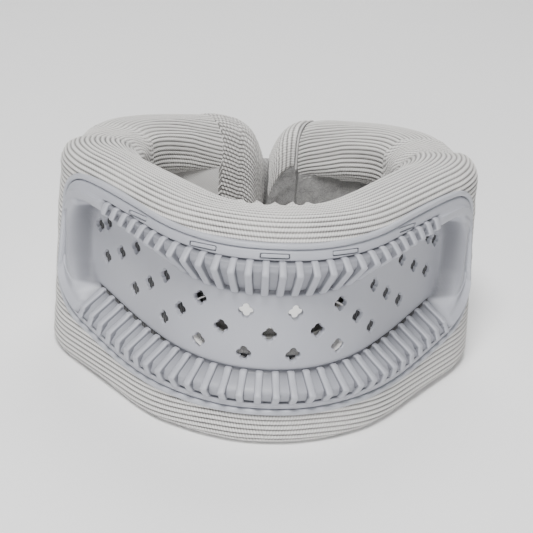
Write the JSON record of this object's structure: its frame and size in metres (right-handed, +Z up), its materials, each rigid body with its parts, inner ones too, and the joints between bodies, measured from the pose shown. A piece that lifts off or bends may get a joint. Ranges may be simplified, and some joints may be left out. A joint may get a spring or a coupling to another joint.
{
  "type": "cervical collar",
  "caption": "Soft neck collar with padded knit covers, a ribbed and ventilated moulded front support, flexing rear arms and a hook-and-loop strap.",
  "frame": {"origin": "centre of the bounding box in plan, on the flat face the collar stands on", "axes": "+Z up along the neck, -Y towards the front (chin side), +X to the viewer's right when facing the front"},
  "size_m": [0.177, 0.1494, 0.0893],
  "materials": {
    "shell_plastic": "satin moulded",
    "clip_plastic": "satin moulded",
    "frame_plastic": "plain sheet",
    "foam": "open-cell foam",
    "ribbed_knit": "fine ribbed knit",
    "lining_knit": "smooth knit",
    "twill": "fine twill",
    "velvet": "brushed loop pile",
    "webbing": "woven webbing",
    "hook": "hook tape"
  },
  "bodies": {
    "front": {"front_shell": "shell_plastic", "shell_bezel": "shell_plastic", "inner_frame": "frame_plastic", "shell_clips": "clip_plastic", "front_foam": "foam", "front_cover": "ribbed_knit", "neck_lining": "lining_knit"},
    "left_arm": {"left_arm_foam": "foam", "left_arm_cover": "ribbed_knit", "left_end_cuff": "ribbed_knit", "left_recess_panel": "twill", "left_gusset": "ribbed_knit", "strap_anchor": "hook", "strap_base": "webbing"},
    "right_arm": {"right_arm_foam": "foam", "right_arm_cover": "ribbed_knit", "right_end_cover": "velvet", "right_recess_panel": "velvet", "right_gusset": "ribbed_knit", "right_loop_field": "velvet"},
    "strap": {"closure_strap": "webbing", "hook_patch": "hook", "strap_tip": "webbing"}
  },
  "joints": [
    {"name": "left_arm_flex", "type": "hinge", "parent": "front", "child": "left_arm", "pos_m": [-0.08505, 0.03133, 0.042], "axis": [0, 0, 1], "range_deg": [0, 40], "stiffness_Nm_per_rad": 0.4},
    {"name": "right_arm_flex", "type": "hinge", "parent": "front", "child": "right_arm", "pos_m": [0.08505, 0.03133, 0.042], "axis": [0, 0, -1], "range_deg": [0, 40], "stiffness_Nm_per_rad": 0.4},
    {"name": "strap_peel", "type": "hinge", "parent": "left_arm", "child": "strap", "pos_m": [-0.03418, 0.07102, 0.0357], "axis": [0, 0.1236, 0.9923], "range_deg": [0, 130], "stiffness_Nm_per_rad": 0.02}
  ],
  "couplings": [
    {"joint": "strap_peel", "follows": "right_arm_flex", "ratio": 3.25}
  ]
}
